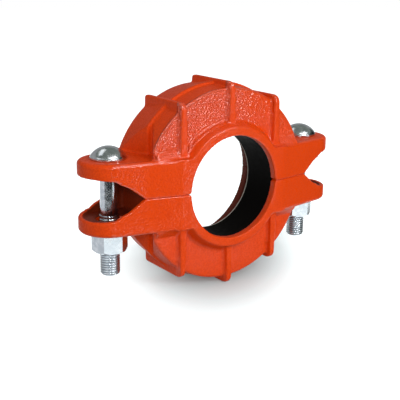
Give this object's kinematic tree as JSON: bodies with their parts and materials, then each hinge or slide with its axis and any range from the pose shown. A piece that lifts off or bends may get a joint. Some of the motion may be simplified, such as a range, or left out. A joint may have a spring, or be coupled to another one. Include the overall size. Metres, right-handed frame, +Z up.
{
  "type": "grooved reducing coupling",
  "caption": "Two-piece bolted clamp coupling that joins a larger and a smaller grooved pipe end to end, with a rubber gasket inside.",
  "frame": {"origin": "middle of the whole coupling, which is on the bore axis and in the parting plane", "axes": "X from bolt to bolt, Y along the pipes with the small end at -Y, Z up through the middle ribs with the bolt heads at +Z"},
  "size_m": [0.245, 0.0624, 0.1716],
  "materials": {
    "painted_casting": "rough cast surface under glossy orange-red paint",
    "gasket_rubber": "smooth moulded rubber",
    "zinc_steel": "bright zinc plating"
  },
  "bodies": {
    "lower_half": {"lower_housing": "painted_casting", "gasket": "gasket_rubber"},
    "upper_half": {"upper_housing": "painted_casting", "left_bolt": "zinc_steel", "right_bolt": "zinc_steel"},
    "left_nut": {"left_nut": "zinc_steel"},
    "right_nut": {"right_nut": "zinc_steel"}
  },
  "joints": [
    {"name": "halves_part", "type": "slide", "parent": "lower_half", "child": "upper_half", "axis": [0, 0, 1], "range_m": [0, 0.012]},
    {"name": "left_nut_turn", "type": "hinge", "parent": "lower_half", "child": "left_nut", "pos_m": [-0.098, 0.0034, -0.036], "axis": [0, 0, 1], "range_deg": [-2161, 1]},
    {"name": "right_nut_turn", "type": "hinge", "parent": "lower_half", "child": "right_nut", "pos_m": [0.098, 0.0034, -0.036], "axis": [0, 0, 1], "range_deg": [-2161, 1]}
  ],
  "couplings": [
    {"joint": "left_nut_turn", "follows": "halves_part", "rad_per_m": -3141.6},
    {"joint": "right_nut_turn", "follows": "halves_part", "rad_per_m": -3141.6}
  ]
}
